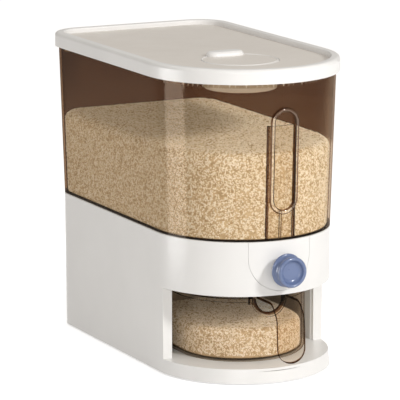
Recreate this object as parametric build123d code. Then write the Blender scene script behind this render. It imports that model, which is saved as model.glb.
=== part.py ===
from build123d import *
import math
import os

# Countertop rice dispenser: a clear amber hopper under a white lid, standing on a white base
# with a push knob above a clear pull-out drawer.  Millimetres, +Z up, the front faces -Y.
# The origin is on the table, at the middle of the whole footprint.

# ---- overall plan and levels ----
lid_width = 200.0
lid_depth = 348.0
knob_reach = 14.0            # how far the knob stands in front of the lid's front edge
rear_corner = 35.0           # plan radius of the two rear corners, at the lid's edge
foot_height = 1.5
base_height = 141.0          # from the base's bottom edge to its joint with the hopper
hopper_height = 156.0        # from that joint to the lid's skirt
lid_height = 14.5
joint_gap = 0.8

rear_y = (lid_depth + knob_reach) / 2
arc_y = rear_y - lid_depth + lid_width / 2      # centre of the round front
base_bottom = foot_height
base_top = base_bottom + base_height
skirt_bottom = base_top + hopper_height
lid_top = skirt_bottom + lid_height

# ---- base ----
base_inset = 9.7             # base's bottom edge, in from the lid's edge
joint_inset = 8.8            # base's top edge, in from the lid's edge
base_wall = 2.6
ledge_height = 14.0          # from the base's bottom edge to the drawer's floor
foot_reach = 3.7             # the foot stands this far forward at its bottom edge
deck_thickness = 2.5
opening_height = 73.0
jamb_setback = 11.0          # the opening's side posts stand this far in front of arc_y
chamber_half = 80.0
chamber_wall = 2.5
chamber_back = 101.0         # the chamber's rear wall, behind arc_y
jamb_rib_width = 3.0
jamb_rib_depth = 1.4
jamb_rib_back = 4.0
guide_rib_height = 5.0
guide_rib_width = 2.0
guide_rib_setback = 20.0     # the ribs start this far behind arc_y
foot_top_reach = 0.4         # the foot still stands this far forward at the ledge
drawer_side_play = 0.5
seat_width = 3.0             # inner ledge that carries the hopper
seat_thickness = 2.8
seat_drop = 9.0
boss_radius = 4.0
pilot_radius = 1.3
plate_thickness = 2.5
fit_gap = 0.3
film = 0.05                  # left between a pressed-in piece and its hole
past = 1.0                   # how far a cutting body runs past what it cuts
boss_half = 68.0
boss_front_half = 52.0
boss_rear_setback = 43.0     # in front of rear_y
boss_middle_back = 87.0      # behind arc_y
boss_front_reach = 41.0      # in front of arc_y
pad_radius = 9.0
pad_bevel = 0.5
pad_half = 66.0
pad_front_half = 48.0
pad_rear_setback = 69.0      # in front of rear_y
pad_front_reach = 25.0       # in front of arc_y

ledge_z = base_bottom + ledge_height
deck_bottom = ledge_z - deck_thickness
band_bottom = ledge_z + opening_height
ceiling_top = band_bottom + deck_thickness
jamb_y = arc_y - jamb_setback
chamber_rear = arc_y + chamber_back
seat_z = base_top - seat_drop

# ---- button panel and push knob ----
panel_half = 34.0
panel_low_gap = 4.0          # from the band's lower edge up to the panel's lowest point
panel_seam = 0.35
panel_seat = 4.0
knob_lower = 0.5             # knob's axis below the middle of the band
knob_travel = 8.0
knob_gap = 0.5               # left between knob and panel when it is pushed in
knob_radius = 16.6
cap_radius = 15.4
waist_radius = 13.4
dish_radius = 11.6
dish_depth = 4.8
dish_flat = 7.0
dish_bend = 10.2
dish_step = 1.2
knob_round = 1.2
cap_round = 1.8
cap_depth = 4.2
neck_radius = 7.9
spigot_radius = 5.9
bore_play = 0.3
sleeve_wall = 2.2
sleeve_length = 9.0
arm_gap = 4.0                # from the sleeve's end to the gate's arm
tail_radius = 4.0
tail_play = 0.3
tail_past = 1.5
groove_depth = 0.8
spigot_length = 5.5
disc_thickness = 3.0

knob_z = (band_bottom + base_top) / 2 - knob_lower
face_inset = base_inset + (joint_inset - base_inset) * (knob_z - base_bottom) / base_height
panel_face_y = rear_y - lid_depth + face_inset
panel_centre_z = band_bottom + panel_low_gap + panel_half
knob_back_y = panel_face_y - knob_travel - knob_gap
knob_front_y = rear_y - lid_depth - knob_reach

# ---- outlet, gate and its guide ----
outlet_setback = 16.0        # outlet's middle, in front of arc_y
outlet_half = 18.0
slot_width = 7.0
slot_half = 12.5
slot_pitch = 18.0
guide_half = 34.0
guide_reach = 29.0           # to the front and to the rear of the outlet's middle
guide_screw_back = 25.0
guide_screw_front = 23.0
guide_thickness = 2.5
rail_width = 5.0
gate_half = 28.0
gate_thickness = 2.6
gate_play = 0.3
lip_thickness = 2.0
arm_thickness = 3.0
arm_half = 9.0
spring_length = 13.5
stop_thickness = 3.0
stop_half = 8.5
chute_depth = 7.0
chute_wall = 2.0
clip_thickness = 1.2
clip_width = 2.4
wire_radius = 0.45
spring_radius = 6.0
spring_turns = 4.5
screw_radius = 1.1
screw_head = 2.6
screw_head_height = 1.6

outlet_y = arc_y - outlet_setback
gate_bottom = ceiling_top + guide_thickness + gate_play
gate_top = gate_bottom + gate_thickness
lip_bottom = gate_top + gate_play
lip_top = lip_bottom + lip_thickness
arm_y = panel_face_y + base_wall + sleeve_length + arm_gap
stop_y = arm_y + arm_thickness + spring_length

# ---- hopper ----
hopper_wall = 2.2
rim_inset = 3.5              # hopper's top edge, in from the lid's edge
spigot_inset = 3.0
spigot_wall = 2.2
shelf_z_drop = 6.5
shelf_fall = 10.0
spout_bottom = gate_top + fit_gap
funnel_back = 134.0          # behind arc_y
funnel_reach = 44.0          # in front of arc_y
funnel_half = 60.0
funnel_edge = 16.5
funnel_corner = 12.0
outlet_corner = 6.0
spout_length = 6.0
bead_half = 13.0
bead_radius = 2.4
bead_proud = 0.3
bead_low = 28.8
bead_high = 130.0
funnel_rear = arc_y + funnel_back
funnel_front = arc_y - funnel_reach

# ---- strip behind the front window ----
strip_half = 15.5
strip_height = 112.0
strip_wall = 2.0
strip_depth = 3.6
strip_rib = 2.2
strip_lift = 1.0

# ---- lid ----
lid_wall = 2.5
lid_round = 3.6
recess_round = 1.6
recess_inset = 10.0
recess_depth = 5.0
plug_inset = 7.7
plug_drop = 4.5
gasket_height = 4.0
gasket_lift = 1.0

recess_z = lid_top - recess_depth
ceiling_z = recess_z - lid_wall
groove_top = lid_top - lid_wall
plug_bottom = skirt_bottom - plug_drop
rim_top = groove_top - fit_gap

# ---- desiccant cup in the lid ----
cup_setback = 3.0            # cup's axis, in front of arc_y
cup_radius = 36.5
cup_wall = 1.8
cup_drop = 18.0              # cup's floor below the lid's skirt
flange_radius = 38.5
cap_clearance = 0.4
collar_wall = 2.5
collar_height = 4.5
flange_thickness = 1.5
collar_lip = 2.0
tab_half = 20.0
tab_height = 4.8
tab_width = 18.0
tab_round = 4.2
tab_inset = 5.0              # tab's middle, in from the cap's edge; its rear stands out over the lid
tab_root = 0.5
cap_edge_round = 0.8
plug_length = 5.0
plug_wall = 1.9
cup_round = 2.0
vent_radius = 2.0
vent_ring = 22.0
vent_count = 10
pouch_thickness = 12.0
pouch_play = 2.0
pouch_round = 3.0
pouch_gap = 0.2

cup_y = arc_y - cup_setback
cup_bottom = skirt_bottom - cup_drop
collar_bottom = ceiling_z - collar_height
flange_z = collar_bottom + collar_lip + fit_gap
cap_z = flange_z + flange_thickness + fit_gap

# ---- drawer ----
drawer_radius = 66.5
drawer_height = 65.0
drawer_wall = 2.4
drawer_back = 93.0           # behind arc_y
drawer_corner = 14.0
drawer_round = 6.0
lip_height = 3.5
lip_reach = 1.5
notch_radius = 15.5
notch_rim = 4.5
notch_rise = 0.5
notch_thick = 1.4
pull_half = 15.0
pull_thickness = 2.6
pull_reach = 45.0            # in front of the drawer's round front wall
pull_low = 24.0
pull_root = 20.0
pull_hook = 2.4
hook_drop = 7.0
pull_bend = 10.0
pull_nose = 13.0
pull_slope = 2.5
pull_shoulder = 14.0
hook_play = 0.6
drawer_bottom = ledge_z + fit_gap
drawer_top = drawer_bottom + drawer_height
drawer_front = arc_y - drawer_radius
drawer_rear = arc_y + drawer_back

# ---- rice ----
rice_gap = 1.6
rice_level = 87.0            # above the joint of base and hopper
rice_round = 9.0
rice_lift = 1.2
funnel_rice_gap = 0.8
drawer_rice_level = 30.0
drawer_rice_gap = 2.6
drawer_rice_round = 7.0
drawer_rice_lift = 0.4
drawer_rice_foot_round = 3.0


def d_face(half, rear, corner, z, centre=arc_y):
    """D-shaped face at height z: round front about centre, straight sides, rounded rear corners."""
    edges = [
        Line((-half, centre), (-half, rear - corner)),
        CenterArc((-half + corner, rear - corner), corner, 180, -90),
        Line((-half + corner, rear), (half - corner, rear)),
        CenterArc((half - corner, rear - corner), corner, 90, -90),
        Line((half, rear - corner), (half, centre)),
        CenterArc((0, centre), half, 0, -180),
    ]
    return Pos(0, 0, z) * Face(Wire(edges))


def plan(inset, z, forward=0.0):
    """The lid's outline moved in by inset, at height z, its front moved on by forward."""
    return d_face(lid_width / 2 - inset, rear_y - inset, rear_corner - inset, z, arc_y - forward)


def tapered(low_inset, low_z, high_inset, high_z, low_forward=0.0):
    """Solid between two outlines of the body."""
    return loft([plan(low_inset, low_z, low_forward), plan(high_inset, high_z)], ruled=True)


def straight(inset, low_z, high_z, forward=0.0):
    """Upright solid on one outline of the body."""
    return extrude(plan(inset, low_z, forward), amount=high_z - low_z, dir=(0, 0, 1))


def block(x0, x1, y0, y1, z0, z1):
    """Box between two corners."""
    return Pos((x0 + x1) / 2, (y0 + y1) / 2, (z0 + z1) / 2) * Box(x1 - x0, y1 - y0, z1 - z0)


def both_sides(solid):
    """The solid and its mirror image across the middle plane."""
    return solid + mirror(solid, about=Plane.YZ)


def rod(radius, y0, y1, z):
    """Round bar along Y on the middle plane."""
    return extrude(Plane(origin=(0, y0, z), x_dir=(1, 0, 0), z_dir=(0, 1, 0)) * Circle(radius), amount=y1 - y0)


def disc(radius, x, y, z0, z1):
    """Upright round bar."""
    return Pos(x, y, (z0 + z1) / 2) * Cylinder(radius, z1 - z0)


def hopper_inset(z):
    """Inset of the hopper's outer face at height z."""
    rise = (z - base_top) / (rim_top - base_top)
    return joint_inset + (rim_inset - joint_inset) * rise


def front_y(inset):
    """Y of the body's front where its outline is moved in by inset."""
    return rear_y - lid_depth + inset


def u_prism(grow):
    """Bar along Y with the button panel's outline: straight sides and a round bottom."""
    half = panel_half + grow
    top = base_top + panel_half
    upper = Pos(0, (top - panel_centre_z) / 2) * Rectangle(2 * half, top - panel_centre_z)
    outline = upper + Circle(half)
    frame = Plane(origin=(0, front_y(0), panel_centre_z), x_dir=(1, 0, 0), z_dir=(0, -1, 0))
    return extrude(frame * outline, amount=-lid_width / 2)


# ---------------- base ----------------
def mirrored(places):
    """Each place and its mirror image across the middle plane."""
    return [(side * x, y) for x, y in places for side in (1, -1)]


corner_bosses = mirrored([
    (boss_half, rear_y - boss_rear_setback),
    (boss_half, arc_y + boss_middle_back),
    (boss_front_half, arc_y - boss_front_reach),
])
foot_places = mirrored([
    (pad_half, rear_y - pad_rear_setback),
    (pad_front_half, arc_y - pad_front_reach),
])
guide_screws = mirrored([
    (guide_half - rail_width / 2, outlet_y + guide_screw_back),
    (guide_half - rail_width / 2, outlet_y - guide_screw_front),
])


def base_skin(depth_in, depth_out):
    """Part of the base's wall between two depths from its outer face."""
    outer = tapered(base_inset + depth_in, base_bottom, joint_inset + depth_in, base_top)
    inner = tapered(base_inset + depth_out, base_bottom - 1, joint_inset + depth_out, base_top + 1)
    return outer - inner


def make_base_housing():
    shell = tapered(base_inset, base_bottom, joint_inset, base_top)
    foot_low = plan(base_inset, base_bottom, foot_reach)
    shell += loft([foot_low, plan(base_inset, ledge_z, foot_top_reach)], ruled=True)
    shell -= straight(base_inset + base_wall, base_bottom - 1, deck_bottom, foot_reach)
    shell -= tapered(base_inset + base_wall, ledge_z, joint_inset + base_wall, base_top + 1)
    far = lid_width
    shell -= block(-far, far, -2 * far, jamb_y, ledge_z, band_bottom)
    inside = tapered(base_inset + 1, base_bottom, joint_inset + 1, base_top)

    outer_x = chamber_half + chamber_wall
    walls = both_sides(block(chamber_half, outer_x, jamb_y, chamber_rear, deck_bottom, ceiling_top))
    walls += both_sides(block(chamber_half, far, jamb_y, jamb_y + chamber_wall, deck_bottom, ceiling_top))
    walls += block(-outer_x, outer_x, chamber_rear, chamber_rear + chamber_wall, deck_bottom, ceiling_top)
    walls += block(-far, far, -2 * far, chamber_rear + chamber_wall, band_bottom, ceiling_top)
    rib_y = jamb_y + jamb_rib_back
    walls += both_sides(
        block(chamber_half - jamb_rib_depth, chamber_half + 1, rib_y, rib_y + jamb_rib_width, deck_bottom, ceiling_top)
    )
    guide_x = drawer_radius + drawer_side_play
    walls += both_sides(
        block(
            guide_x, guide_x + guide_rib_width, arc_y + guide_rib_setback, drawer_rear,
            deck_bottom, ledge_z + guide_rib_height,
        )
    )
    shell += walls & inside

    seat_depth = joint_inset + base_wall
    seat = straight(seat_depth - 0.5, seat_z - seat_thickness, seat_z)
    seat -= straight(seat_depth + seat_width, seat_z - seat_thickness - 1, seat_z + 1)
    shell += seat

    opening_for_panel = base_skin(-1, base_wall + 0.5) & u_prism(0)
    shell -= opening_for_panel
    shell -= u_prism(0) & block(-far, far, -2 * far, front_y(joint_inset + base_wall + seat_width + 1), seat_z - 5, far)
    panel_frame = base_skin(base_wall - 0.05, base_wall + 2.0) & (u_prism(panel_seat) - u_prism(-panel_seat))
    panel_frame &= block(-far, far, -2 * far, arc_y, ceiling_top - 1, seat_z - seat_thickness + 0.5)
    shell += panel_frame

    shell -= block(
        -outlet_half - chute_wall - fit_gap, outlet_half + chute_wall + fit_gap,
        outlet_y - outlet_half - chute_wall - fit_gap, outlet_y + outlet_half + chute_wall + fit_gap,
        band_bottom - 1, ceiling_top + 1,
    )
    for x, y in corner_bosses:
        shell += disc(boss_radius, x, y, base_bottom + plate_thickness + fit_gap, deck_bottom + 0.5)
        shell -= disc(pilot_radius, x, y, base_bottom, deck_bottom - 1)
    for x, y in guide_screws:
        shell -= disc(pilot_radius, x, y, band_bottom - 1, ceiling_top + 1)
    return shell


def make_bottom_plate():
    plate = straight(base_inset + base_wall + fit_gap, base_bottom, base_bottom + plate_thickness, foot_reach)
    for x, y in corner_bosses:
        plate -= disc(pilot_radius, x, y, base_bottom - 1, base_bottom + plate_thickness + 1)
        plate -= disc(screw_head + fit_gap, x, y, base_bottom - 1, base_bottom + screw_head_height)
    return plate


def screw(x, y, head_z, tip_z):
    """Pan-head screw with its head at head_z and its tip at tip_z."""
    turn = 1 if tip_z > head_z else -1
    low, high = sorted((head_z, head_z + turn * (screw_head_height - fit_gap)))
    head = disc(screw_head, x, y, low, high)
    low, high = sorted((head_z + turn, tip_z))
    return head + disc(screw_radius, x, y, low, high)


def make_bottom_screws():
    return Compound(children=[screw(x, y, base_bottom, deck_bottom - 2) for x, y in corner_bosses])


def make_rubber_feet():
    feet = []
    for x, y in foot_places:
        pad = disc(pad_radius, x, y, 0, foot_height)
        feet.append(chamfer(pad.edges().group_by(Axis.Z)[0], pad_bevel))
    return Compound(children=feet)


def make_button_panel():
    panel = base_skin(0, base_wall - fit_gap) & u_prism(-panel_seam)
    panel &= block(-lid_width, lid_width, -2 * lid_width, arc_y, base_bottom, base_top)
    bore = neck_radius + bore_play
    sleeve_end = panel_face_y + base_wall + sleeve_length
    panel += rod(bore + sleeve_wall, panel_face_y + base_wall / 2, sleeve_end, knob_z)
    panel -= rod(bore, panel_face_y - base_wall, sleeve_end + past, knob_z)
    return panel


# ---------------- push knob, gate and spring ----------------
def make_push_knob():
    z_axis = Axis((0, 0, knob_z), (0, 1, 0))
    rim = knob_front_y
    back = knob_back_y
    waist_y = (rim + back) / 2 - knob_round / 2
    disc_edge = knob_radius - knob_round
    disc_front = back - disc_thickness
    cap_back = (cap_radius - 0.8, rim + cap_depth)
    cap_front = (cap_radius - cap_round, rim)
    dish_edge = (dish_radius, rim + dish_step)
    dish_floor = rim + dish_depth
    outline = [
        Line((0, back), (disc_edge, back)),
        ThreePointArc((disc_edge, back), (knob_radius, back - disc_thickness / 2), (disc_edge, disc_front)),
        ThreePointArc((disc_edge, disc_front), (waist_radius, waist_y), cap_back),
        ThreePointArc(cap_back, (cap_radius, rim + 1.9), cap_front),
        ThreePointArc(cap_front, (dish_radius + 0.9, rim + 0.3), dish_edge),
        ThreePointArc(dish_edge, (dish_bend, rim + 0.75 * dish_depth), (dish_flat, dish_floor)),
        Line((dish_flat, dish_floor), (0, dish_floor)),
        Line((0, dish_floor), (0, back)),
    ]
    profile = Pos(0, 0, knob_z) * Face(Wire(outline))
    knob = revolve(profile, axis=z_axis)
    knob -= rod(spigot_radius + film, back - spigot_length - tail_play, back + past, knob_z)
    return knob


def make_push_stem():
    stem = rod(spigot_radius, knob_back_y - spigot_length, knob_back_y + past, knob_z)
    stem += rod(neck_radius, knob_back_y, arm_y, knob_z)
    clip_y = stop_y + stop_thickness + fit_gap
    tail_end = clip_y + clip_thickness + tail_past
    stem += rod(tail_radius, arm_y - past, tail_end, knob_z)
    groove = rod(tail_radius + past, clip_y, clip_y + clip_thickness + 2 * film, knob_z)
    return stem - (groove - rod(tail_radius - groove_depth, clip_y - past, tail_end, knob_z))


def make_retaining_clip():
    clip_y = stop_y + stop_thickness + fit_gap
    outer = tail_radius + clip_width
    rear = clip_y + clip_thickness + past
    ring = rod(outer, clip_y, clip_y + clip_thickness, knob_z)
    ring -= rod(tail_radius - groove_depth + film, clip_y - past, rear, knob_z)
    return ring - block(-clip_width, clip_width, clip_y - past, rear, knob_z, knob_z + 2 * outer)


def make_gate_slide():
    plate_rear = outlet_y + outlet_half + past
    gate = block(-gate_half, gate_half, arm_y, plate_rear, gate_bottom, gate_top)
    gate += block(-arm_half, arm_half, arm_y, arm_y + arm_thickness, gate_bottom, knob_z)
    gate += rod(arm_half, arm_y, arm_y + arm_thickness, knob_z)
    gate -= rod(tail_radius + film, arm_y - past, arm_y + arm_thickness + past, knob_z)
    for centre in (outlet_y - slot_pitch / 2, outlet_y + slot_pitch / 2):
        y0 = centre - knob_travel - slot_width / 2
        gate -= block(-slot_half, slot_half, y0, y0 + slot_width, gate_bottom - past, gate_top + past)
    return gate


def make_gate_guide():
    front = outlet_y - guide_reach
    rear = outlet_y + guide_reach
    guide = block(-guide_half, guide_half, front, rear, ceiling_top, ceiling_top + guide_thickness)
    rail = block(guide_half - rail_width, guide_half, stop_y, rear, ceiling_top, lip_top)
    rail += block(gate_half - lip_thickness, guide_half, stop_y, rear, lip_bottom, lip_top)
    guide += both_sides(rail)
    stop = block(-guide_half, guide_half, stop_y, stop_y + stop_thickness, lip_bottom, lip_top + lip_thickness)
    stop += block(-stop_half, stop_half, stop_y, stop_y + stop_thickness, lip_bottom, knob_z)
    stop += rod(stop_half, stop_y, stop_y + stop_thickness, knob_z)
    stop -= rod(tail_radius + tail_play, stop_y - past, stop_y + stop_thickness + past, knob_z)
    guide += stop
    reach = outlet_half + chute_wall
    guide += block(-reach, reach, outlet_y - reach, outlet_y + reach, band_bottom - chute_depth + deck_thickness,
                   ceiling_top + 1)
    guide -= block(-outlet_half, outlet_half, outlet_y - outlet_half, outlet_y + outlet_half,
                   band_bottom - chute_depth, ceiling_top)
    for centre in (outlet_y - slot_pitch / 2, outlet_y + slot_pitch / 2):
        guide -= block(-slot_half, slot_half, centre - slot_width / 2, centre + slot_width / 2,
                       ceiling_top - past, gate_bottom)
    for x, y in guide_screws:
        guide -= disc(pilot_radius, x, y, ceiling_top - past, lip_top + past)
    return guide


def make_guide_screws():
    return Compound(children=[
        screw(x, y, lip_top + screw_head_height, band_bottom + fit_gap) for x, y in guide_screws
    ])


def make_return_spring():
    low = arm_y + arm_thickness + wire_radius + 2 * film
    high = stop_y - wire_radius - 2 * film
    pitch = (high - low) / spring_turns
    coil = Helix(pitch=pitch, height=high - low, radius=spring_radius)
    start = coil @ 0
    wire_plane = Plane(origin=start, z_dir=coil % 0)
    wire = sweep(wire_plane * Circle(wire_radius), path=coil, is_frenet=True)
    axis_frame = Plane(origin=(0, low, knob_z), x_dir=(1, 0, 0), z_dir=(0, 1, 0))
    return axis_frame * wire


# ---------------- hopper ----------------
def funnel(clear):
    """Space inside the two-stage funnel floor, drawn in by clear."""
    shelf_top = base_top - shelf_z_drop
    shelf_low = shelf_top - shelf_fall
    wide = plan(funnel_edge + clear, shelf_top)
    half = funnel_half - clear
    middle = d_face(half, funnel_rear - clear, funnel_corner, shelf_low, funnel_front + funnel_half)
    hole = outlet_half - clear
    mouth = d_face(hole, outlet_y + hole, outlet_corner, spout_bottom + spout_length, outlet_y)
    upper = loft([wide, middle], ruled=True)
    lower = loft([middle, mouth], ruled=True)
    throat = extrude(mouth, amount=2 * spout_length, dir=(0, 0, -1))
    return upper + lower + throat


def obround_ring(half, z0, z1, radius, y, lean):
    """Round bead along an upright obround, leaning back with the hopper's front wall."""
    frame = Plane(origin=(0, y, (z0 + z1) / 2), x_dir=(1, 0, 0), z_dir=(0, -1, 0)).rotated((lean, 0, 0))
    run = (z1 - z0) / 2 - half
    edges = [
        Line((-half, -run), (-half, run)),
        ThreePointArc((-half, run), (0, run + half), (half, run)),
        Line((half, run), (half, -run)),
        ThreePointArc((half, -run), (0, -run - half), (-half, -run)),
    ]
    path = frame * Wire(edges)
    start = path @ 0
    return sweep(Plane(origin=start, z_dir=path % 0) * Circle(radius), path=path)


def make_hopper():
    floor_top = base_top - shelf_z_drop
    low = base_top + joint_gap
    spigot = joint_inset + spigot_inset
    seat_inside = joint_inset + base_wall + seat_width + fit_gap
    shell = tapered(joint_inset, low, rim_inset, rim_top)
    shell += straight(spigot, seat_z + fit_gap, low + 1)
    outside = funnel(-hopper_wall) + Pos(0, 0, -hopper_wall) * funnel(-hopper_wall)
    shell += outside & straight(seat_inside, spout_bottom, floor_top)
    shell -= straight(spigot + spigot_wall, floor_top, low + 0.5)
    shell -= tapered(joint_inset + hopper_wall, low + 0.4, rim_inset + hopper_wall, rim_top + 0.01)
    shell -= funnel(0)
    window_low = base_top + bead_low
    window_high = base_top + bead_high
    middle = (window_low + window_high) / 2
    lean = math.degrees(math.atan2(joint_inset - rim_inset, rim_top - base_top))
    bead_y = front_y(hopper_inset(middle)) - bead_proud
    return shell + obround_ring(bead_half, window_low, window_high, bead_radius, bead_y, lean)


def make_window_strip():
    low = base_top + joint_gap + strip_lift
    high = low + strip_height
    clear = hopper_wall + fit_gap
    outer = tapered(joint_inset + clear, base_top, rim_inset + clear, rim_top)
    inner = tapered(joint_inset + clear + strip_wall, base_top - 1, rim_inset + clear + strip_wall, rim_top + 1)
    deep = tapered(joint_inset + clear + strip_depth, base_top - 1, rim_inset + clear + strip_depth, rim_top + 1)
    front = block(-strip_half, strip_half, front_y(0), arc_y, low, high)
    plate = (outer - inner) & front
    edge = block(strip_half - strip_wall, strip_half, front_y(0), arc_y, low, high)
    plate += both_sides((outer - deep) & edge)
    rib = block(-strip_rib / 2, strip_rib / 2, front_y(0), arc_y, low, base_top + bead_low)
    plate += (outer - deep) & rib
    return plate


def rice_block(clear, low, high):
    """Body of rice standing clear of the hopper's inner face."""
    return loft([plan(hopper_inset(low) + clear, low), plan(hopper_inset(high) + clear, high)], ruled=True)


def make_hopper_rice():
    level = base_top + rice_level
    floor = base_top - shelf_z_drop + fit_gap
    start = base_top + joint_gap + rice_lift
    clear = hopper_wall + rice_gap
    heap = rice_block(clear, start, level)
    heap = fillet(heap.edges().group_by(Axis.Z)[-1], rice_round)
    pocket_half = strip_half + rice_gap
    pocket = block(-pocket_half, pocket_half, front_y(0), arc_y, start, lid_top)
    heap -= pocket - rice_block(clear + strip_depth, base_top, lid_top)
    heap += straight(joint_inset + spigot_inset + spigot_wall + 1, floor, start + 0.5)
    heap += Pos(0, 0, fit_gap) * funnel(funnel_rice_gap)
    return heap & straight(0, spout_bottom + fit_gap, lid_top)


# ---------------- lid ----------------
def make_lid():
    shell = straight(0, skirt_bottom, lid_top)
    shell = fillet(shell.edges().group_by(Axis.Z)[-1], lid_round)
    recess = straight(recess_inset, recess_z, lid_top + 1)
    shell -= recess
    shell = fillet(shell.edges().group_by(Axis.Z)[-1], recess_round)
    shell -= straight(lid_wall, skirt_bottom - 1, groove_top) - straight(plug_inset, skirt_bottom - 2, lid_top)
    shell += straight(plug_inset, plug_bottom, skirt_bottom + 1)
    shell -= straight(recess_inset, plug_bottom - 1, ceiling_z)
    collar = flange_radius + cap_clearance
    shell += disc(collar + collar_wall, 0, cup_y, collar_bottom, ceiling_z + 1)
    shell -= disc(collar, 0, cup_y, collar_bottom + collar_lip, recess_z + past)
    shell -= disc(cup_radius + cap_clearance, 0, cup_y, collar_bottom - 1, lid_top)
    return shell


def make_lid_gasket():
    low = plug_bottom + gasket_lift
    ring = straight(hopper_inset(low) + hopper_wall + fit_gap, low, low + gasket_height)
    return ring - straight(plug_inset, low - 1, low + gasket_height + 1)


def make_desiccant_cup():
    cup = disc(cup_radius, 0, cup_y, cup_bottom, flange_z + flange_thickness)
    cup = fillet(cup.edges().group_by(Axis.Z)[0], cup_round)
    cup += disc(flange_radius, 0, cup_y, flange_z, flange_z + flange_thickness)
    cup -= disc(cup_radius - cup_wall, 0, cup_y, cup_bottom + cup_wall, lid_top)
    for index in range(vent_count):
        turn = 2 * math.pi * index / vent_count
        x = vent_ring * math.cos(turn)
        y = cup_y + vent_ring * math.sin(turn)
        cup -= disc(vent_radius, x, y, cup_bottom - 1, cup_bottom + cup_wall + 1)
    return cup


def make_desiccant_pad():
    low = cup_bottom + cup_wall + pouch_gap
    pad = disc(cup_radius - cup_wall - pouch_play, 0, cup_y, low, low + pouch_thickness)
    return fillet(pad.edges(), pouch_round)


def make_desiccant_cap():
    radius = flange_radius
    cap = disc(radius, 0, cup_y, cap_z, recess_z)
    cap = fillet(cap.edges().group_by(Axis.Z)[-1], cap_edge_round)
    plug = cup_radius - cup_wall - fit_gap
    cap += disc(plug, 0, cup_y, cap_z - plug_length, cap_z + tab_root)
    cap -= disc(plug - plug_wall, 0, cup_y, cap_z - plug_length - past, cap_z)
    outline = Pos(0, cup_y + radius - tab_inset) * SlotOverall(2 * tab_half, tab_width)
    tab = Pos(0, 0, recess_z + fit_gap) * extrude(outline, amount=tab_height - fit_gap)
    tab = fillet(tab.edges().group_by(Axis.Z)[-1], tab_round)
    root = Pos(0, 0, recess_z - tab_root) * extrude(outline, amount=2 * tab_root)
    return cap + tab + (root & disc(radius - cap_edge_round, 0, cup_y, recess_z - tab_root, recess_z + tab_root))


# ---------------- drawer ----------------
def drawer_face(inset, z):
    return d_face(drawer_radius - inset, drawer_rear - inset, drawer_corner - inset, z)


def upright(inset, z0, z1):
    return extrude(drawer_face(inset, z0), amount=z1 - z0, dir=(0, 0, 1))


def make_drawer():
    outer = upright(0, drawer_bottom, drawer_top)
    outer = fillet(outer.edges().group_by(Axis.Z)[0], drawer_round)
    inner = upright(drawer_wall, drawer_bottom + drawer_wall, drawer_top + 1)
    inner = fillet(inner.edges().group_by(Axis.Z)[0], drawer_round - drawer_wall)
    lip = upright(-lip_reach, drawer_top - lip_height, drawer_top)
    notch_z = drawer_top + notch_rise
    front = Plane(origin=(0, drawer_front - notch_radius, notch_z), x_dir=(1, 0, 0), z_dir=(0, 1, 0))
    thick_edge = extrude(front * Circle(notch_radius + notch_rim), amount=drawer_radius)
    thick_edge &= upright(-notch_thick, drawer_bottom + drawer_round, drawer_top)
    hole = extrude(front * Circle(notch_radius), amount=drawer_radius)
    return outer + lip + thick_edge - inner - hole


def make_drawer_pull():
    top = drawer_top + fit_gap + pull_thickness / 2
    nose = drawer_front - pull_reach
    line = FilletPolyline(
        (drawer_front + past, top), (nose + pull_nose, top), (nose + pull_slope, top - pull_shoulder),
        (nose, pull_low), radius=(pull_bend, pull_bend),
    )
    strip = extrude(Plane.YZ * trace(line, pull_thickness), amount=pull_half, both=True)
    frame = Plane(origin=(0, nose, pull_low + pull_half), x_dir=(1, 0, 0), z_dir=(0, -1, 0))
    outline = Circle(pull_half) + Pos(0, drawer_top / 2) * Rectangle(2 * pull_half, drawer_top)
    strip &= extrude(frame * outline, amount=pull_reach + drawer_radius, both=True)
    low = top - pull_thickness / 2
    cap = upright(-lip_reach, low, low + pull_thickness) - upright(drawer_wall + pull_hook, low - 1, lid_top)
    root = cap & block(-pull_root, pull_root, nose, arc_y, 0, lid_top)
    hooks = upright(drawer_wall + fit_gap, drawer_top - hook_drop, low + 1)
    hooks -= upright(drawer_wall + pull_hook, 0, lid_top)
    hooks &= both_sides(block(notch_radius + hook_play, pull_root, nose, arc_y, 0, lid_top))
    return strip + root + hooks


def make_drawer_rice():
    low = drawer_bottom + drawer_wall + drawer_rice_lift
    gap = drawer_wall + drawer_rice_gap
    heap = upright(gap, low, low + drawer_rice_level)
    heap = fillet(heap.edges().group_by(Axis.Z)[0], drawer_rice_foot_round)
    return fillet(heap.edges().group_by(Axis.Z)[-1], drawer_rice_round)


PIECES = {
    "base_housing": make_base_housing,
    "base_bottom_plate": make_bottom_plate,
    "base_screws": make_bottom_screws,
    "rubber_feet": make_rubber_feet,
    "button_panel": make_button_panel,
    "gate_guide": make_gate_guide,
    "gate_guide_screws": make_guide_screws,
    "push_knob": make_push_knob,
    "push_stem": make_push_stem,
    "stem_retaining_clip": make_retaining_clip,
    "gate_slide": make_gate_slide,
    "return_spring": make_return_spring,
    "hopper": make_hopper,
    "window_strip": make_window_strip,
    "hopper_rice": make_hopper_rice,
    "lid": make_lid,
    "lid_gasket": make_lid_gasket,
    "desiccant_cup": make_desiccant_cup,
    "desiccant_pad": make_desiccant_pad,
    "desiccant_cap": make_desiccant_cap,
    "drawer": make_drawer,
    "drawer_pull": make_drawer_pull,
    "drawer_rice": make_drawer_rice,
}

os.makedirs("parts", exist_ok=True)
for name, make in PIECES.items():
    export_step(make(), f"parts/{name}.step")
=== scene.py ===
import math

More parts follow.
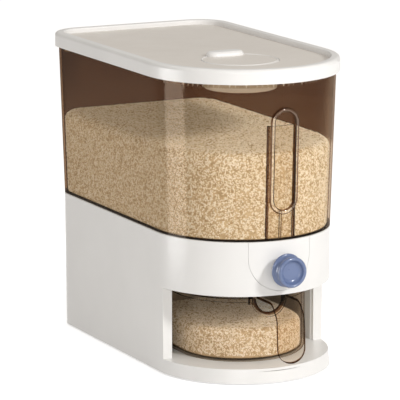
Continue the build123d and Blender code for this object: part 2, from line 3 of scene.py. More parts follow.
import bpy
import numpy as np
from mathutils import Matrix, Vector


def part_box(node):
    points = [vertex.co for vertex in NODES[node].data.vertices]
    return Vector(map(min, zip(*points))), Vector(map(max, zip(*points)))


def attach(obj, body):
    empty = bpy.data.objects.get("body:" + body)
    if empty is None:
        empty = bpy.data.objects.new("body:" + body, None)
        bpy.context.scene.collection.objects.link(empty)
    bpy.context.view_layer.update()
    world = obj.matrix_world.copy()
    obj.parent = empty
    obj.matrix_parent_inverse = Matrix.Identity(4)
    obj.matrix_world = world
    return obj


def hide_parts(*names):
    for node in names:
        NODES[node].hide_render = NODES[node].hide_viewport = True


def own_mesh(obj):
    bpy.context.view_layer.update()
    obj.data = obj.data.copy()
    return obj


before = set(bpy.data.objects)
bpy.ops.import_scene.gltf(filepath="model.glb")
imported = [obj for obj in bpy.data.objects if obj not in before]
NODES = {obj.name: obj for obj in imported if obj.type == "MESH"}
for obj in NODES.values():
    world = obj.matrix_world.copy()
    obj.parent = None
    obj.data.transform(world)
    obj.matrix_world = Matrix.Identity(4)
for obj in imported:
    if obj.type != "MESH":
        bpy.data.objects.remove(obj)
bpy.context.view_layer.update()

# ---- camera: a long lens, from the front and a little to the left and above ----
IMAGE_WIDTH_PX = 400
FOCAL_LENGTH_PX = 2922.9
SENSOR_MM = 36.0
CAMERA_AZIMUTH = math.radians(-27.0)
CAMERA_ELEVATION = math.radians(11.54)
CAMERA_DISTANCE = 2.9578
CAMERA_TARGET = Vector((-0.0158, -0.0130, 0.1579))
CAMERA_CLIP_END = 50.0

# ---- places on the CAD pieces ----
LID_LOW, LID_HIGH = (Vector(corner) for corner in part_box("lid"))
LID_HALF = (LID_HIGH.x - LID_LOW.x) / 2
ARC_Y = LID_LOW.y + LID_HALF                # centre of the round front
CAP_LOW, CAP_HIGH = (Vector(corner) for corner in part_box("desiccant_cap"))
CAP_RADIUS = (CAP_HIGH.x - CAP_LOW.x) / 2
CAP_FACE = CAP_HIGH.z - 0.0048              # top of the cap beside its tab
BASE_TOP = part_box("base_housing")[1][2]
HOPPER_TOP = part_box("hopper")[1][2]
DRAWER_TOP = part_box("drawer")[1][2]
RICE_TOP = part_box("hopper_rice")[1][2]
STRIP_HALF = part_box("window_strip")[1][0]
PULL_LOW, PULL_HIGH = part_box("drawer_pull")
NOTCH_RADII = (0.0155, 0.0200)              # the finger notch in the drawer's rim
NOTCH_RISE = 0.0005                         # its centre, above the rim

# ---- tints and painted shade of the clear plastic ----
NO_TINT = (1.0, 1.0, 1.0)
LOW_TINT = (0.94, 0.88, 0.79)
# painted shade, standing in for the dark seen through the far walls above the rice
PAINTED_SHADE_TINT = (0.245, 0.14, 0.075)
DARK_EDGE = (0.30, 0.20, 0.13)
LINE_TINT = (0.17, 0.09, 0.05)              # edges of the strip, the pull and the drawer
SIDE_TINT = (0.27, 0.16, 0.095)             # sides of the ring on the hopper
SHINE_COLOUR = (1.0, 0.85, 0.71)
SHINE_ROUGHNESS = 0.07
UNSEEN_TINT = (0.985, 0.98, 0.97)           # what shadows and soft light pass through

# painted shade above the rice, on the hopper's rear and right walls, for the dark seen through them
PAINTED_SHADE_START = RICE_TOP - 0.009
PAINTED_SHADE_RISE = 0.005
PAINTED_SHADE_RIGHT = (0.80 * LID_HALF, 0.93 * LID_HALF)
PAINTED_SHADE_REAR = (LID_HIGH.y - 0.024, LID_HIGH.y - 0.010)
# the painted shade reaches down to the foot at the rear corners
CORNER_SHADE_SIDE = (0.70 * LID_HALF, 0.78 * LID_HALF)
CORNER_SHADE_REAR = (LID_HIGH.y - 0.031, LID_HIGH.y - 0.026)

# painted shade along the hopper's foot, in the gap above the base, and on its left side
FOOT_LINE_REACH = 0.0024                    # the line reaches this far from the base's top
FOOT_LINE_FADE = 0.0006
# painted shade in the gap between the hopper's foot and the base
FOOT_GAP_SHADE = (0.16, 0.10, 0.06)
LEFT_SIDE = (-0.55 * LID_HALF, -0.90 * LID_HALF)
# painted shade on the hopper's left side
LEFT_SIDE_SHADE = (0.90, 0.885, 0.865)
SIGHT_SLOPE = 0.23                          # rise of the painted side shade towards the front
# painted shade at the top rear of the left side, above the rice
TOP_REAR_RISE = (0.004, 0.05)
TOP_REAR_SHADE = (0.80, 0.72, 0.64)

# darker margins of the strip and the pull, and a darker ring round the notch
MARGIN_FADE = 0.6                           # share of a margin that is fully dark
STRIP_MARGIN = 0.0022
STRIP_MARGIN_TINT = (0.50, 0.36, 0.27)
PULL_MARGIN = 0.0016
PULL_MARGIN_TINT = (0.22, 0.13, 0.08)
RING_FADE = (0.5, 0.35)                     # shares of a ring's width, where it ends and is full
RING_FRONT_FADE = 0.001
NOTCH_RING_OFFSET = 0.0012
NOTCH_RING_WIDTH = 0.0028
NOTCH_RING_TINT = (0.42, 0.28, 0.19)


# ---------------- small node helpers: owner is a material or the world ----------------
def new_material(name):
    material = bpy.data.materials.new(name)
    material.use_nodes = True
    material.node_tree.nodes.clear()
    return material


def add(owner, kind, **settings):
    node = owner.node_tree.nodes.new(kind)
    for key, value in settings.items():
        setattr(node, key, value)
    return node


def link(owner, output, target):
    owner.node_tree.links.new(output, target)


def ramp(material, source, stops):
    node = add(material, "ShaderNodeValToRGB")
    elements = node.color_ramp.elements
    while len(elements) < len(stops):
        elements.new(0.5)
    for element, (place, colour) in zip(elements, stops):
        element.position = place
        element.color = (*colour, 1.0)
    link(material, source, node.inputs["Fac"])
    return node.outputs["Color"]


def fade_in(material, source, tint):
    """No tint where the source is 0, and all of it where it is 1."""
    return ramp(material, source, [(0.0, NO_TINT), (1.0, tint)])


def map_range(material, source, low, high, to_low=0.0, to_high=1.0):
    node = add(material, "ShaderNodeMapRange")
    node.inputs["From Min"].default_value = low
    node.inputs["From Max"].default_value = high
    node.inputs["To Min"].default_value = to_low
    node.inputs["To Max"].default_value = to_high
    link(material, source, node.inputs["Value"])
    return node.outputs["Result"]


def math_node(owner, operation, first, second=0.0):
    node = add(owner, "ShaderNodeMath", operation=operation)
    for socket, value in zip(node.inputs, (first, second)):
        if isinstance(value, (int, float)):
            socket.default_value = value
        else:
            link(owner, value, socket)
    return node.outputs["Value"]


def gap(material, value, place):
    """How far a value is from a place."""
    return math_node(material, "ABSOLUTE", math_node(material, "SUBTRACT", value, place))


def length(material, first, second):
    """Length of a flat vector."""
    squares = [math_node(material, "POWER", math_node(material, "ABSOLUTE", value), 2.0)
               for value in (first, second)]
    return math_node(material, "SQRT", math_node(material, "ADD", *squares))


def multiply(material, first, second):
    """Two colours multiplied."""
    node = add(material, "ShaderNodeMix", data_type="RGBA", blend_type="MULTIPLY")
    node.inputs["Factor"].default_value = 1.0
    link(material, first, node.inputs["A"])
    link(material, second, node.inputs["B"])
    return node.outputs["Result"]


def mix_shaders(owner, factor, first, second):
    node = add(owner, "ShaderNodeMixShader")
    link(owner, factor, node.inputs["Fac"])
    link(owner, first, node.inputs[1])
    link(owner, second, node.inputs[2])
    return node.outputs["Shader"]


def object_coordinates(material):
    return add(material, "ShaderNodeTexCoord").outputs["Object"]


def position(material):
    """The X, Y and Z outputs of the object coordinates."""
    place = add(material, "ShaderNodeSeparateXYZ")
    link(material, object_coordinates(material), place.inputs["Vector"])
    return place.outputs


def noise_value(material, scale, detail=2.0):
    node = add(material, "ShaderNodeTexNoise")
    node.inputs["Scale"].default_value = scale
    node.inputs["Detail"].default_value = detail
    link(material, object_coordinates(material), node.inputs["Vector"])
    return node.outputs["Fac"]


def bump(material, height, strength, distance):
    node = add(material, "ShaderNodeBump")
    node.inputs["Strength"].default_value = strength
    node.inputs["Distance"].default_value = distance
    link(material, height, node.inputs["Height"])
    return node.outputs["Normal"]


def finish_surface(owner, shader, kind="ShaderNodeOutputMaterial"):
    output = add(owner, kind)
    link(owner, shader, output.inputs["Surface"])
    return owner


def place_object(name, data):
    made = bpy.data.objects.new(name, data)
    bpy.context.scene.collection.objects.link(made)
    return made


# ---------------- materials ----------------
NOISE_SPAN = (0.3, 0.7)                     # the part of a noise's range that is used
CLOUDS = {"scale": 14.0, "detail": 3.0}     # soft changes of tone in the plastic
GLOSS_CLOUDS = {"scale": 40.0, "detail": 4.0}
GLOSS_SPREAD = 0.15                         # the roughness varies by this share either way
COAT_ROUGHNESS = 0.12
GRAIN_STRENGTH = 0.25


def moulded_plastic(name, dark, light, roughness, coat=0.0, grain_scale=900.0, grain_depth=0.00004):
    """Injection-moulded plastic: two close tones in soft clouds, a fine grain, uneven gloss."""
    material = new_material(name)
    shader = add(material, "ShaderNodeBsdfPrincipled")
    tones = ramp(material, noise_value(material, **CLOUDS), list(zip(NOISE_SPAN, (dark, light))))
    link(material, tones, shader.inputs["Base Color"])
    gloss = map_range(material, noise_value(material, **GLOSS_CLOUDS), *NOISE_SPAN,
                      roughness * (1 - GLOSS_SPREAD), roughness * (1 + GLOSS_SPREAD))
    link(material, gloss, shader.inputs["Roughness"])
    shader.inputs["Coat Weight"].default_value = coat
    shader.inputs["Coat Roughness"].default_value = COAT_ROUGHNESS
    grain = noise_value(material, grain_scale)
    link(material, bump(material, grain, GRAIN_STRENGTH, grain_depth), shader.inputs["Normal"])
    return finish_surface(material, shader.outputs["BSDF"])


def wall_tint_and_shade(material, low_tint, shade_tint):
    """A light tint, and painted shade above the rice on the rear and right walls and down the rear corners.
    """
    place = position(material)
    right = map_range(material, place["X"], *PAINTED_SHADE_RIGHT)
    rear = map_range(material, place["Y"], *PAINTED_SHADE_REAR)
    above = map_range(material, place["Z"], PAINTED_SHADE_START, PAINTED_SHADE_START + PAINTED_SHADE_RISE)
    depth = math_node(material, "MULTIPLY", math_node(material, "MAXIMUM", right, rear), above)
    side = map_range(material, math_node(material, "ABSOLUTE", place["X"]), *CORNER_SHADE_SIDE)
    corner = math_node(material, "MULTIPLY", side, map_range(material, place["Y"], *CORNER_SHADE_REAR))
    depth = math_node(material, "MAXIMUM", depth, corner)
    return ramp(material, depth, [(0.0, low_tint), (1.0, shade_tint)])


def margin_tint(material, half_width, margin, tint, round_z=None):
    """A darker margin along a strip's sides, and round its lower end if round_z is given."""
    place = position(material)
    reach = math_node(material, "ABSOLUTE", place["X"])
    if round_z is not None:
        rise = math_node(material, "SUBTRACT", place["Z"], round_z)
        reach = length(material, reach, math_node(material, "MINIMUM", rise, 0.0))
    near = map_range(material, reach, half_width - margin, half_width - MARGIN_FADE * margin)
    return fade_in(material, near, tint)


def ring_tint(material, centre_z, radius, width, tint):
    """A darker ring on the front, round a point at x = 0."""
    place = position(material)
    rise = math_node(material, "SUBTRACT", place["Z"], centre_z)
    off = gap(material, length(material, place["X"], rise), radius)
    on_ring = map_range(material, off, *(share * width for share in RING_FADE))
    in_front = map_range(material, place["Y"], ARC_Y, ARC_Y - RING_FRONT_FADE)
    return fade_in(material, math_node(material, "MULTIPLY", on_ring, in_front), tint)


def hopper_painted_shade(material):
    """Painted shade: a dark line along the hopper's foot, in the gap above the base, and a darker left
    side, most so at its top rear.
    """
    place = position(material)
    off = gap(material, place["Z"], BASE_TOP)
    line = map_range(material, off, FOOT_LINE_REACH + FOOT_LINE_FADE, FOOT_LINE_REACH)
    left = map_range(material, place["X"], *LEFT_SIDE)
    tint = multiply(material, fade_in(material, line, FOOT_GAP_SHADE),
                    fade_in(material, left, LEFT_SIDE_SHADE))
    forwards = math_node(material, "SUBTRACT", LID_HIGH.y, place["Y"])
    sight = math_node(material, "ADD", math_node(material, "MULTIPLY", forwards, SIGHT_SLOPE), RICE_TOP)
    over = map_range(material, math_node(material, "SUBTRACT", place["Z"], sight), *TOP_REAR_RISE)
    top = math_node(material, "MULTIPLY", left, over)
    return multiply(material, tint, fade_in(material, top, TOP_REAR_SHADE))


def strip_margin(material):
    return margin_tint(material, STRIP_HALF, STRIP_MARGIN, STRIP_MARGIN_TINT)


def pull_margin(material):
    return margin_tint(material, PULL_HIGH[0], PULL_MARGIN, PULL_MARGIN_TINT, PULL_LOW[2] + PULL_HIGH[0])


def notch_ring(material):
    return ring_tint(material, DRAWER_TOP + NOTCH_RISE, NOTCH_RADII[0] + NOTCH_RING_OFFSET,
                     NOTCH_RING_WIDTH, NOTCH_RING_TINT)


WAVES = {"scale": 9.0, "detail": 1.0}
WAVE_BUMP = (0.08, 0.002)


def clear_plastic(name, low_tint, shade_tint, edge_span, gloss=(0.012, 0.2), extra=None):
    """Tinted clear plastic with painted shade above the rice on the rear and right walls, that looks darker
    where its face turns away; extra gives one more tint or painted shade.
    """
    material = new_material(name)
    facing = add(material, "ShaderNodeLayerWeight")
    facing.inputs["Blend"].default_value = 0.5
    grazing = facing.outputs["Facing"]
    edge = ramp(material, grazing, list(zip(edge_span, (NO_TINT, DARK_EDGE))))
    shaded = multiply(material, wall_tint_and_shade(material, low_tint, shade_tint), edge)
    if extra is not None:
        shaded = multiply(material, shaded, extra(material))
    clear = add(material, "ShaderNodeBsdfTransparent")
    link(material, shaded, clear.inputs["Color"])
    shine = add(material, "ShaderNodeBsdfGlossy")
    shine.inputs["Color"].default_value = (*SHINE_COLOUR, 1.0)
    shine.inputs["Roughness"].default_value = SHINE_ROUGHNESS
    link(material, bump(material, noise_value(material, **WAVES), *WAVE_BUMP), shine.inputs["Normal"])
    # Schlick's curve, which holds on both faces of the wall
    rise = math_node(material, "MULTIPLY", math_node(material, "POWER", grazing, 5.0), gloss[1])
    mirror = math_node(material, "ADD", rise, gloss[0])
    body = mix_shaders(material, mirror, clear.outputs["BSDF"], shine.outputs["BSDF"])
    path = add(material, "ShaderNodeLightPath").outputs
    unseen = math_node(material, "MAXIMUM", path["Is Shadow Ray"], path["Is Diffuse Ray"])
    through = add(material, "ShaderNodeBsdfTransparent")
    through.inputs["Color"].default_value = (*UNSEEN_TINT, 1.0)
    return finish_surface(material, mix_shaders(material, unseen, body, through.outputs["BSDF"]))


RICE_CELL_SCALE = 330.0
RICE_TONE_SPAN = (0.1, 0.75)
RICE_BUMP = (0.3, 0.0002)
RICE_BUMP_SCALE = 700.0


def rice_material(name, dark, light, roughness):
    """Dull, slightly waxy rice: its tone changes from grain to grain."""
    material = new_material(name)
    shader = add(material, "ShaderNodeBsdfPrincipled")
    cells = add(material, "ShaderNodeTexVoronoi")
    cells.inputs["Scale"].default_value = RICE_CELL_SCALE
    link(material, object_coordinates(material), cells.inputs["Vector"])
    tone = add(material, "ShaderNodeSeparateColor")
    link(material, cells.outputs["Color"], tone.inputs["Color"])
    tones = ramp(material, tone.outputs["Red"], list(zip(RICE_TONE_SPAN, (dark, light))))
    link(material, tones, shader.inputs["Base Color"])
    shader.inputs["Roughness"].default_value = roughness
    dents = noise_value(material, RICE_BUMP_SCALE)
    link(material, bump(material, dents, *RICE_BUMP), shader.inputs["Normal"])
    return finish_surface(material, shader.outputs["BSDF"])


BRUSHING = {"scale": 300.0, "detail": 3.0}
METAL_TONES = ((0.48, 0.48, 0.49), (0.66, 0.66, 0.67))
METAL_ROUGHNESS = (0.25, 0.4)


def plain_metal(name):
    material = new_material(name)
    shader = add(material, "ShaderNodeBsdfPrincipled")
    shader.inputs["Metallic"].default_value = 1.0
    brushed = noise_value(material, **BRUSHING)
    link(material, ramp(material, brushed, list(zip(NOISE_SPAN, METAL_TONES))), shader.inputs["Base Color"])
    link(material, map_range(material, brushed, *NOISE_SPAN, *METAL_ROUGHNESS), shader.inputs["Roughness"])
    return finish_surface(material, shader.outputs["BSDF"])


WHITE = moulded_plastic("white_shell", dark=(0.80, 0.795, 0.785), light=(0.84, 0.835, 0.825),
                        roughness=0.33, coat=0.15)
INNER_WHITE = moulded_plastic("inner_white", dark=(0.74, 0.735, 0.725), light=(0.79, 0.785, 0.775),
                              roughness=0.5)
CUP_WHITE = moulded_plastic("cup_white", dark=(0.61, 0.55, 0.505), light=(0.66, 0.60, 0.55),
                            roughness=0.45)
# a more matte finish, and a darker, warmer tone than the shell that is painted shade
LID_FLOOR_SHADED_WHITE = moulded_plastic("lid_floor_shaded", dark=(0.715, 0.675, 0.625), light=(0.75, 0.71, 0.66),
                                  roughness=0.42)
BLUE = moulded_plastic("blue_knob", dark=(0.105, 0.15, 0.29), light=(0.13, 0.18, 0.335),
                       roughness=0.28, coat=0.5)
RUBBER = moulded_plastic("foot_rubber", dark=(0.05, 0.05, 0.05), light=(0.08, 0.08, 0.08),
                         roughness=0.75)
SACHET = moulded_plastic("sachet", dark=(0.76, 0.74, 0.69), light=(0.86, 0.85, 0.81),
                         roughness=0.85, grain_scale=400.0, grain_depth=0.0003)
STEEL = plain_metal("steel")
RICE = rice_material("rice", dark=(0.85, 0.76, 0.61), light=(0.98, 0.95, 0.89), roughness=0.55)
# darker rice under the grains: painted shade in the gaps between them
RICE_GAP_SHADE = rice_material("rice_gap_shade", dark=(0.48, 0.36, 0.22), light=(0.66, 0.53, 0.37), roughness=0.8)
AMBER_HOPPER = clear_plastic("amber_hopper", LOW_TINT, PAINTED_SHADE_TINT, edge_span=(0.72, 0.97),
                             extra=hopper_painted_shade)
AMBER_BEAD = clear_plastic("amber_bead", (0.99, 0.97, 0.94), PAINTED_SHADE_TINT, edge_span=(0.72, 0.9),
                           gloss=(0.09, 0.6))
AMBER_BEAD_SIDE = clear_plastic("amber_bead_side", SIDE_TINT, SIDE_TINT, edge_span=(0.8, 0.97),
                                gloss=(0.03, 0.3))
AMBER_STRIP = clear_plastic("amber_strip", (0.985, 0.965, 0.94), PAINTED_SHADE_TINT, edge_span=(0.75, 0.97),
                            extra=strip_margin)
AMBER_EDGE = clear_plastic("amber_edge", LINE_TINT, LINE_TINT, edge_span=(0.6, 0.97),
                           gloss=(0.006, 0.1))
AMBER_PULL = clear_plastic("amber_pull", (0.96, 0.92, 0.87), PAINTED_SHADE_TINT, edge_span=(0.75, 0.97),
                           gloss=(0.003, 0.05), extra=pull_margin)
AMBER_DRAWER = clear_plastic("amber_drawer", (0.935, 0.87, 0.79), PAINTED_SHADE_TINT, edge_span=(0.72, 0.97),
                             extra=notch_ring)
CLEAR_SEAL = clear_plastic("clear_seal", (0.97, 0.945, 0.91), (0.90, 0.85, 0.80), edge_span=(0.8, 0.97),
                           gloss=(0.004, 0.05))

NODE_MATERIALS = {
    "base_housing": WHITE, "button_panel": WHITE, "lid": WHITE, "desiccant_cap": WHITE,
    "desiccant_cup": CUP_WHITE, "base_bottom_plate": INNER_WHITE, "gate_guide": INNER_WHITE,
    "gate_slide": INNER_WHITE, "push_stem": INNER_WHITE, "push_knob": BLUE, "rubber_feet": RUBBER,
    "lid_gasket": CLEAR_SEAL, "desiccant_pad": SACHET, "base_screws": STEEL,
    "gate_guide_screws": STEEL, "return_spring": STEEL, "stem_retaining_clip": STEEL,
    "hopper": AMBER_HOPPER, "window_strip": AMBER_STRIP, "drawer": AMBER_DRAWER,
    "drawer_pull": AMBER_PULL, "hopper_rice": RICE_GAP_SHADE, "drawer_rice": RICE_GAP_SHADE,
}
SHARP_ANGLE = math.radians(32)              # edges that bend more than this stay sharp


def dress(node_name, material):
    """Gives a CAD node its material and smooth shading across its curved faces."""
    node = NODES[node_name]
    if not node.material_slots:
        node.data.materials.append(material)
    for slot in node.material_slots:
        slot.link = "OBJECT"
        slot.material = material
    node.data.shade_smooth()
    node.data.set_sharp_from_angle(angle=SHARP_ANGLE)


for node_name, material in NODE_MATERIALS.items():
    dress(node_name, material)


# ---------------- faces of a CAD piece that look different from the rest ----------------
def face_table(node_name):
    """Centres and normals of a CAD node's faces."""
    polygons = NODES[node_name].data.polygons
    centres = np.empty(len(polygons) * 3)
    normals = np.empty(len(polygons) * 3)
    polygons.foreach_get("center", centres)
    polygons.foreach_get("normal", normals)
    return centres.reshape(-1, 3), normals.reshape(-1, 3)


def paint_faces(node_name, material, chosen):
    """Gives the chosen faces of a CAD node a second material."""
    node = NODES[node_name]
    node.data.materials.append(None)
    slot = node.material_slots[len(node.material_slots) - 1]
    slot.link = "OBJECT"
    slot.material = material
    indices = np.empty(len(node.data.polygons), dtype=np.int32)
    node.data.polygons.foreach_get("material_index", indices)
    indices[chosen] = len(node.material_slots) - 1
    node.data.polygons.foreach_set("material_index", indices)
    node.data.update()


UPRIGHT = 0.3                               # an upright face's normal rises less than this
LEVEL = 0.9                                 # and a level face's rises more than this
WALL_INSET_LOW = 0.0088                     # hopper's outer face, in from the lid's edge, at its foot
WALL_INSET_HIGH = 0.0035                    # and at its rim
BEAD_REACH = 0.2 * LID_HALF                 # the raised ring lies this near the middle of the front
BEAD_SPAN = (0.1, 0.85)                     # and between these shares of the hopper's height
BEAD_LIFT = 0.0001                          # its faces lie this far outside the wall, or more
BEAD_SIDE = 0.86                            # a bead's side turns this far from the wall's own direction


def paint_window_beads():
    centres, normals = face_table("hopper")
    share = (centres[:, 2] - BASE_TOP) / (HOPPER_TOP - BASE_TOP)
    wall = LID_HALF - WALL_INSET_LOW - (WALL_INSET_HIGH - WALL_INSET_LOW) * share
    outwards = np.hypot(centres[:, 0], centres[:, 1] - ARC_Y) - wall
    near_front = (centres[:, 1] < ARC_Y) & (np.abs(centres[:, 0]) < BEAD_REACH)
    near_front &= (share > BEAD_SPAN[0]) & (share < BEAD_SPAN[1])
    bead = near_front & (outwards > BEAD_LIFT)
    radial = centres[:, :2] - (0.0, ARC_Y)
    radial /= np.linalg.norm(radial, axis=1)[:, None]
    side = (normals[:, :2] * radial).sum(axis=1) < BEAD_SIDE
    paint_faces("hopper", AMBER_BEAD, bead & ~side)
    paint_faces("hopper", AMBER_BEAD_SIDE, bead & side)


STRIP_EDGE_TURN = 0.7                       # faces that look this far sideways or up are the edges


def paint_strip_edges():
    _, normals = face_table("window_strip")
    edges = (np.abs(normals[:, 0]) > STRIP_EDGE_TURN) | (normals[:, 2] > STRIP_EDGE_TURN)
    paint_faces("window_strip", AMBER_EDGE, edges)


PULL_SIDE_TURN = 0.3
PULL_FOOT_TURN = 0.8
PULL_FOOT_TOP = 0.5 * DRAWER_TOP


def paint_pull_edges():
    centres, normals = face_table("drawer_pull")
    foot = (centres[:, 2] < PULL_FOOT_TOP) & (normals[:, 2] < -PULL_FOOT_TURN)
    paint_faces("drawer_pull", AMBER_EDGE, (np.abs(normals[:, 0]) > PULL_SIDE_TURN) | foot)


NOTCH_MARGIN = 0.0006                       # faces this near one of the notch's radii are its edge
NOTCH_FORWARD = 0.3                         # and look less than this forwards
RIM_DEPTH = 0.004


def paint_drawer_edges():
    centres, normals = face_table("drawer")
    reach = np.hypot(centres[:, 0], centres[:, 2] - DRAWER_TOP - NOTCH_RISE)
    round_notch = np.min([np.abs(reach - radius) for radius in NOTCH_RADII], axis=0) < NOTCH_MARGIN
    notch = round_notch & (np.abs(normals[:, 1]) < NOTCH_FORWARD) & (centres[:, 1] < ARC_Y)
    rim = (np.abs(normals[:, 2]) > LEVEL) & (centres[:, 2] > DRAWER_TOP - RIM_DEPTH)
    paint_faces("drawer", AMBER_EDGE, notch | rim)


PLUG_INSET = (0.0065, 0.03)                 # the plug's walls, in from the lid's edge
PLUG_FOOT = LID_LOW.z + 0.0005
PLUG_WALL_TOP = LID_LOW.z + 0.0079          # highest middle of a face of the plug


def paint_lid_plug():
    """The photo shows no rim inside the clear wall, so the lid's plug is clear too."""
    centres, normals = face_table("lid")
    round_front = LID_HALF - np.hypot(centres[:, 0], centres[:, 1] - ARC_Y)
    straight = np.minimum(LID_HALF - np.abs(centres[:, 0]), LID_HIGH.y - centres[:, 1])
    inset = np.where(centres[:, 1] < ARC_Y, round_front, straight)
    wall = (np.abs(normals[:, 2]) < UPRIGHT) & (centres[:, 2] < PLUG_WALL_TOP)
    wall &= (inset > PLUG_INSET[0]) & (inset < PLUG_INSET[1])
    paint_faces("lid", CLEAR_SEAL, wall | (centres[:, 2] < PLUG_FOOT))


LID_FLOOR_DEPTH = (0.002, 0.02)             # the sunk floor lies between these, below the lid's top
CAP_LEVEL = 0.98
CAP_FACE_MARGIN = 0.001


def paint_lid_floor():
    centres, normals = face_table("lid")
    depth = LID_HIGH.z - centres[:, 2]
    sunk = (depth > LID_FLOOR_DEPTH[0]) & (depth < LID_FLOOR_DEPTH[1])
    # the sunk floor and the cap's flat face get the painted shade
    paint_faces("lid", LID_FLOOR_SHADED_WHITE, sunk & (normals[:, 2] > LEVEL))
    centres, normals = face_table("desiccant_cap")
    flat = (normals[:, 2] > CAP_LEVEL) & (centres[:, 2] < CAP_FACE + CAP_FACE_MARGIN)
    paint_faces("desiccant_cap", LID_FLOOR_SHADED_WHITE, flat)


paint_window_beads()
paint_strip_edges()
paint_pull_edges()
paint_drawer_edges()
paint_lid_plug()
paint_lid_floor()


# ---------------- return spring --------------------------------------------------------
SPRING_WIRE = 0.00045
SPRING_TURNS = 4.5
SPRING_STEPS = (140, 10)


def new_mesh(name, points, faces, material):
    mesh = bpy.data.meshes.new(name)
    mesh.from_pydata(points.reshape(-1, 3).tolist(), [], faces)
    mesh.shade_smooth()
    mesh.materials.append(material)
    return place_object(name, mesh)


def make_spring():
    """A coil of round wire in the place of the CAD spring."""
    low, high = (Vector(corner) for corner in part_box("return_spring"))
    middle = (low + high) / 2
    radius = (high.x - low.x) / 2 - SPRING_WIRE
    start, end = low.y + SPRING_WIRE, high.y - SPRING_WIRE
    steps, sides = SPRING_STEPS
    turn = np.linspace(0, 2 * math.pi * SPRING_TURNS, steps)[:, None]
    tip = (2 * math.pi * np.arange(sides) / sides)[None]
    reach = radius + SPRING_WIRE * np.cos(tip)
    x = middle.x + reach * np.cos(turn)
    y = np.linspace(start, end, steps)[:, None] + SPRING_WIRE * np.sin(tip)
    z = middle.z + reach * np.sin(turn)
    faces = [tuple(range(sides)), tuple(range((steps - 1) * sides, steps * sides))[::-1]]
    for i in range(steps - 1):
        for j in range(sides):
            near, after = i * sides, (i + 1) * sides
            faces.append((near + j, near + (j + 1) % sides, after + (j + 1) % sides, after + j))
    coil = new_mesh("coil", np.stack([x, y, z], axis=2), faces, STEEL)
    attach(coil, "base")
    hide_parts("return_spring")
    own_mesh(coil)


make_spring()


# ---------------- fine bead round the desiccant cap ----------------
CAP_BEAD_RADIUS = 0.00045
CAP_BEAD_INSET = 0.0012                     # from the cap's edge to the bead's middle
CAP_BEAD_STEPS = (160, 10)


def make_cap_bead():
    """A thin ring moulded along the cap's edge."""
    around, across = CAP_BEAD_STEPS
    middle = (CAP_LOW + CAP_HIGH) / 2
    radius = CAP_RADIUS - CAP_BEAD_INSET
    turn = 2 * math.pi * np.arange(around) / around
    tip = 2 * math.pi * np.arange(across) / across
    reach = radius + CAP_BEAD_RADIUS * np.cos(tip)[None]
    x = middle.x + reach * np.cos(turn)[:, None]
    y = middle.y + reach * np.sin(turn)[:, None]
    z = CAP_FACE + CAP_BEAD_RADIUS * np.sin(tip)[None] + 0 * x
    faces = []
    for i in range(around):
        for j in range(across):
            near, after = i * across, (i + 1) % around * across
            faces.append((near + j, after + j, after + (j + 1) % across, near + (j + 1) % across))
    bead = new_mesh("cap_bead", np.stack([x, y, z], axis=2), faces, WHITE)
    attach(bead, "desiccant_door")


make_cap_bead()


# ---------------- grains of rice ----------------
GRAIN_LENGTH = 0.0036
GRAIN_WIDTH = 0.0018
GRAIN_SIDES = 5
GRAIN_SINK = 0.0003
GRAIN_TILT = 0.35
GRAIN_SIZES = (0.82, 1.08)
DRAWN_PER_KEPT = 2                          # more places are drawn, because some fall outside
LOWEST_RISE = -0.2                          # no grains where the surface looks further down
TINY_AREA = 1e-12
HOPPER_GRAINS = 42000
HOPPER_GRAINS_LOW = BASE_TOP + 0.003        # the seated foot of the rice is left bare
DRAWER_GRAINS = 11000


def grain_shape():
    """One grain along X: a ring between two tips."""
    points = [(-GRAIN_LENGTH / 2, 0, 0), (GRAIN_LENGTH / 2, 0, 0)]
    faces = []
    for side in range(GRAIN_SIDES):
        turn = 2 * math.pi * side / GRAIN_SIDES
        points.append((0.0, GRAIN_WIDTH / 2 * math.cos(turn), GRAIN_WIDTH / 2 * math.sin(turn)))
        near, after = 2 + side, 2 + (side + 1) % GRAIN_SIDES
        faces += [(0, after, near), (1, near, after)]
    return np.array(points), np.array(faces)


def mesh_triangles(mesh):
    """The first, second and third corners of a mesh's triangles."""
    mesh.calc_loop_triangles()
    corners = np.empty(len(mesh.vertices) * 3)
    mesh.vertices.foreach_get("co", corners)
    corners = corners.reshape(-1, 3)
    triangles = np.empty(len(mesh.loop_triangles) * 3, dtype=np.int32)
    mesh.loop_triangles.foreach_get("vertices", triangles)
    return (corners[triangles.reshape(-1, 3)[:, k]] for k in range(3))


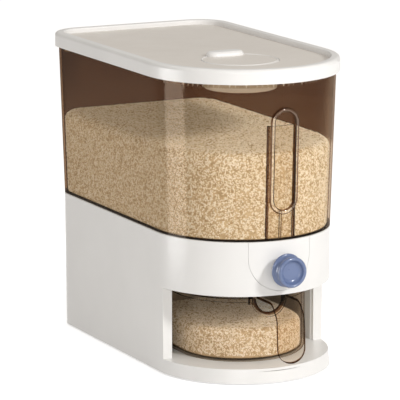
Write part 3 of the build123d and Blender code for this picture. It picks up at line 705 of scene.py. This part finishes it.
def scatter_grains(name, node_name, count, seed, low_z, body):
    """Grains lying on the outside of a rice node, above low_z, as one mesh."""
    first, second, third = mesh_triangles(NODES[node_name].data)
    across = np.cross(second - first, third - first)
    area = np.linalg.norm(across, axis=1)
    random = np.random.default_rng(seed)
    drawn = count * DRAWN_PER_KEPT
    chosen = random.choice(len(area), size=drawn, p=area / area.sum())
    u, v = random.random((2, drawn, 1))
    swap = u + v > 1
    u, v = np.where(swap, 1 - u, u), np.where(swap, 1 - v, v)
    places = first[chosen] + u * (second - first)[chosen] + v * (third - first)[chosen]
    normals = (across / np.maximum(area, TINY_AREA)[:, None])[chosen]
    keep = (places[:, 2] > low_z) & (normals[:, 2] > LOWEST_RISE)
    places, normals = places[keep][:count], normals[keep][:count]
    total = len(places)
    along = np.cross(normals, random.normal(size=(total, 3)))
    along += GRAIN_TILT * random.normal(size=(total, 1)) * normals
    along /= np.linalg.norm(along, axis=1)[:, None]
    side = np.cross(normals, along)
    side /= np.linalg.norm(side, axis=1)[:, None]
    up = np.cross(along, side)
    size = random.uniform(*GRAIN_SIZES, (total, 1, 1))
    points, faces = grain_shape()
    turned = sum(points[:, k, None] * axis[:, None] for k, axis in enumerate((along, side, up)))
    vertices = (places - GRAIN_SINK * normals)[:, None] + size * turned
    offsets = len(points) * np.arange(total)[:, None, None]
    heap = new_mesh(name, vertices, (faces[None] + offsets).reshape(-1, 3).tolist(), RICE)
    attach(heap, body)


scatter_grains("hopper_grains", "hopper_rice", HOPPER_GRAINS, seed=11, low_z=HOPPER_GRAINS_LOW,
               body="hopper_bin")
scatter_grains("drawer_grains", "drawer_rice", DRAWER_GRAINS, seed=12, low_z=0.0, body="drawer_box")


# ---------------- floor, light and camera ----------------
FLOOR_HALF = 6.0
FLOOR_COLOUR = (0.80, 0.80, 0.80)
FLOOR_GLOW = 0.6                            # brings the floor that is seen up to white
SKY_COLOUR = (1.0, 0.955, 0.90)
SKY_STRENGTH = 0.52


def make_floor():
    half = FLOOR_HALF
    mesh = bpy.data.meshes.new("floor")
    corners = [(-half, -half, 0), (half, -half, 0), (half, half, 0), (-half, half, 0)]
    mesh.from_pydata(corners, [], [(0, 1, 2, 3)])
    floor = place_object("floor", mesh)
    material = new_material("floor")
    paint = add(material, "ShaderNodeBsdfDiffuse")
    paint.inputs["Color"].default_value = (*FLOOR_COLOUR, 1.0)
    glow = add(material, "ShaderNodeEmission")
    path = add(material, "ShaderNodeLightPath").outputs
    seen = math_node(material, "MAXIMUM", path["Is Camera Ray"], path["Is Glossy Ray"])
    seen = math_node(material, "MAXIMUM", seen, path["Is Transmission Ray"])
    link(material, math_node(material, "MULTIPLY", seen, FLOOR_GLOW), glow.inputs["Strength"])
    both = add(material, "ShaderNodeAddShader")
    link(material, paint.outputs["BSDF"], both.inputs[0])
    link(material, glow.outputs["Emission"], both.inputs[1])
    mesh.materials.append(finish_surface(material, both.outputs["Shader"]))


def background(world, colour, strength):
    node = add(world, "ShaderNodeBackground")
    node.inputs["Color"].default_value = (*colour, 1.0)
    node.inputs["Strength"].default_value = strength
    return node.outputs["Background"]


def make_world():
    """White where the camera sees it, and a dimmer, warmer light on the object."""
    world = bpy.data.worlds.new("studio")
    bpy.context.scene.world = world
    world.use_nodes = True
    world.node_tree.nodes.clear()
    path = add(world, "ShaderNodeLightPath").outputs
    seen = math_node(world, "MAXIMUM", path["Is Camera Ray"], path["Is Transmission Ray"])
    dim = background(world, SKY_COLOUR, SKY_STRENGTH)
    white = background(world, (1.0, 1.0, 1.0), 1.0)
    finish_surface(world, mix_shaders(world, seen, dim, white), "ShaderNodeOutputWorld")


def area_light(name, place, target, size, watts, colour=(1.0, 1.0, 1.0)):
    data = bpy.data.lights.new(name, "AREA")
    data.shape = "RECTANGLE"
    data.size, data.size_y = size
    data.energy = watts
    data.color = colour
    light = place_object(name, data)
    light.location = place
    light.rotation_euler = (Vector(target) - Vector(place)).to_track_quat("-Z", "Y").to_euler()
    return light


def make_lights():
    middle = (0.0, 0.0, 0.15)
    area_light("key", (0.8, -2.1, 1.35), middle, size=(0.3, 0.3), watts=31.0, colour=(1.0, 0.99, 0.975))
    area_light("fill", (-1.2, -2.2, 0.8), middle, size=(1.0, 1.0), watts=13.0, colour=(1.0, 0.985, 0.97))
    area_light("top", (0.1, 0.4, 2.0), middle, size=(1.4, 1.4), watts=2.0)
    card = area_light("gloss card", (-0.56, 0.10, 0.16), (0.0, ARC_Y, 0.2), size=(0.30, 0.36), watts=2.0)
    card.visible_diffuse = False


def make_camera():
    data = bpy.data.cameras.new("camera")
    data.sensor_fit = "HORIZONTAL"
    data.sensor_width = SENSOR_MM
    data.lens = FOCAL_LENGTH_PX / IMAGE_WIDTH_PX * SENSOR_MM
    data.clip_end = CAMERA_CLIP_END
    camera = place_object("camera", data)
    back = Vector((
        math.sin(CAMERA_AZIMUTH) * math.cos(CAMERA_ELEVATION),
        -math.cos(CAMERA_AZIMUTH) * math.cos(CAMERA_ELEVATION),
        math.sin(CAMERA_ELEVATION),
    ))
    camera.location = CAMERA_TARGET + CAMERA_DISTANCE * back
    camera.rotation_euler = (-back).to_track_quat("-Z", "Y").to_euler()
    bpy.context.scene.camera = camera


make_floor()
make_world()
make_lights()
make_camera()
bpy.context.scene.view_settings.view_transform = "Standard"
